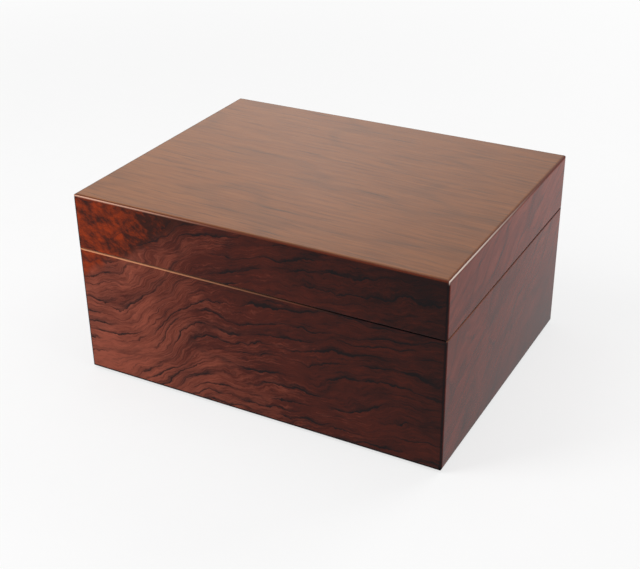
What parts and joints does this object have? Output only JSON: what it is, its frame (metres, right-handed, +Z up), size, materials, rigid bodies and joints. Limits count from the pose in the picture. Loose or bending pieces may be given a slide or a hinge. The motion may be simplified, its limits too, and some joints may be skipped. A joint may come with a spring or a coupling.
{
  "type": "humidor",
  "caption": "Rectangular veneered desktop humidor with a flush hinged lid, cedar lining with a sealing lip, lift-out tray, sliding dividers, humidifier and dial hygrometer.",
  "frame": {"origin": "centre of the box's footprint, on the surface that the felt stands on", "axes": "+X to the right as seen from the front, +Y from the front to the hinged back, +Z up"},
  "size_m": [0.3, 0.2382, 0.151],
  "materials": {
    "veneer": "red-brown figured veneer under high-gloss lacquer",
    "plywood": "sanded",
    "felt": "black wool felt",
    "cedar": "planed and unfinished",
    "brass": "polished",
    "steel": "plated",
    "black_plastic": "fine matt grain",
    "foam": "open-cell foam, soaked",
    "glass": "clear",
    "dial": "ivory paint with a black scale",
    "needle": "black paint"
  },
  "bodies": {
    "base": {"base_front": "veneer", "base_back": "veneer", "base_left": "veneer", "base_right": "veneer", "base_floor": "plywood", "base_felt": "felt", "base_liner_front": "cedar", "base_liner_back": "cedar", "base_liner_left": "cedar", "base_liner_right": "cedar", "base_liner_floor": "cedar", "tray_rest_left": "cedar", "tray_rest_right": "cedar", "hinge_leaf_base_left": "brass", "hinge_leaf_base_right": "brass", "hinge_pins": "brass", "hinge_screws_base": "brass"},
    "lid": {"lid_top": "veneer", "lid_front": "veneer", "lid_back": "veneer", "lid_left": "veneer", "lid_right": "veneer", "lid_liner_top": "cedar", "lid_liner_front": "cedar", "lid_liner_back": "cedar", "lid_liner_left": "cedar", "lid_liner_right": "cedar", "hinge_leaf_lid_left": "brass", "hinge_leaf_lid_right": "brass", "hinge_screws_lid": "brass", "humidifier_case": "black_plastic", "humidifier_grille": "black_plastic", "humidifier_foam": "foam", "humidifier_magnets": "steel", "humidifier_plates": "steel", "hygrometer_case": "brass", "hygrometer_bezel": "brass", "hygrometer_lens": "glass", "hygrometer_dial": "dial", "hygrometer_magnet": "steel", "hygrometer_plate": "steel"},
    "stay_left": {"hinge_stay_left": "brass"},
    "stay_right": {"hinge_stay_right": "brass"},
    "calibrator": {"hygrometer_calibrator": "brass", "hygrometer_coil": "brass"},
    "needle": {"hygrometer_needle": "needle"},
    "tray": {"tray_front": "cedar", "tray_back": "cedar", "tray_left": "cedar", "tray_right": "cedar", "tray_slats": "cedar"},
    "tray_divider": {"tray_divider": "cedar"},
    "base_divider": {"base_divider": "cedar"}
  },
  "joints": [
    {"name": "lid_hinge", "type": "hinge", "parent": "base", "child": "lid", "pos_m": [0, 0.1181, 0.1066], "axis": [-1, 0, 0], "range_deg": [0, 95]},
    {"name": "stay_left_swing", "type": "hinge", "parent": "base", "child": "stay_left", "pos_m": [0, 0.1181, 0.1066], "axis": [-1, 0, 0], "range_deg": [0, 47.5]},
    {"name": "stay_right_swing", "type": "hinge", "parent": "base", "child": "stay_right", "pos_m": [0, 0.1181, 0.1066], "axis": [-1, 0, 0], "range_deg": [0, 47.5]},
    {"name": "calibrator_turn", "type": "hinge", "parent": "lid", "child": "calibrator", "pos_m": [0.077, 0, 0.133], "axis": [0, 0, 1], "range_deg": [-30, 30]},
    {"name": "needle_turn", "type": "hinge", "parent": "calibrator", "child": "needle", "pos_m": [0.077, 0, 0.127], "axis": [0, 0, 1], "range_deg": [-189, 81]},
    {"name": "tray_lift", "type": "slide", "parent": "base", "child": "tray", "axis": [0, 0, 1], "range_m": [0, 0.0095]},
    {"name": "tray_divider_slide", "type": "slide", "parent": "tray", "child": "tray_divider", "axis": [1, 0, 0], "range_m": [-0.122, 0.122]},
    {"name": "base_divider_slide", "type": "slide", "parent": "base", "child": "base_divider", "axis": [1, 0, 0], "range_m": [-0.121, 0.121]}
  ],
  "couplings": [
    {"joint": "stay_left_swing", "follows": "lid_hinge", "ratio": 0.5},
    {"joint": "stay_right_swing", "follows": "lid_hinge", "ratio": 0.5}
  ]
}
